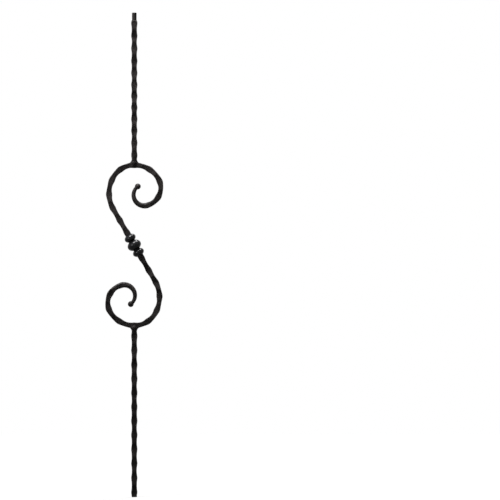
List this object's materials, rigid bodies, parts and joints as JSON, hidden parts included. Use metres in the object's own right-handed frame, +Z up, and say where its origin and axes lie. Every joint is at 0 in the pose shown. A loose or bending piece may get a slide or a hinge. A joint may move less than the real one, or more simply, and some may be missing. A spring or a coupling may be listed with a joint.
{
  "type": "stair baluster",
  "caption": "Hammered round iron stair baluster with an S scroll, beaded knuckle and ball tips, and a dowel top that enters a handrail.",
  "frame": {"origin": "centre of the lower bar's cut foot, on the axis of both straight bars", "axes": "+Z up along the bars to the dowel, +X to the right in the plane of the scroll as pictured, front seen along +Y"},
  "size_m": [0.1338, 0.0328, 1.1176],
  "materials": {
    "hammered_iron": "satin black paint over hammer marks",
    "turned_iron": "smooth satin black paint",
    "weld_metal": "satin black paint over a rolled weld"
  },
  "bodies": {
    "root": {"upper_bar": "hammered_iron", "upper_weld": "weld_metal", "upper_scroll": "hammered_iron", "knuckle": "turned_iron", "lower_scroll": "hammered_iron", "lower_weld": "weld_metal", "lower_bar": "hammered_iron"}
  },
  "joints": []
}
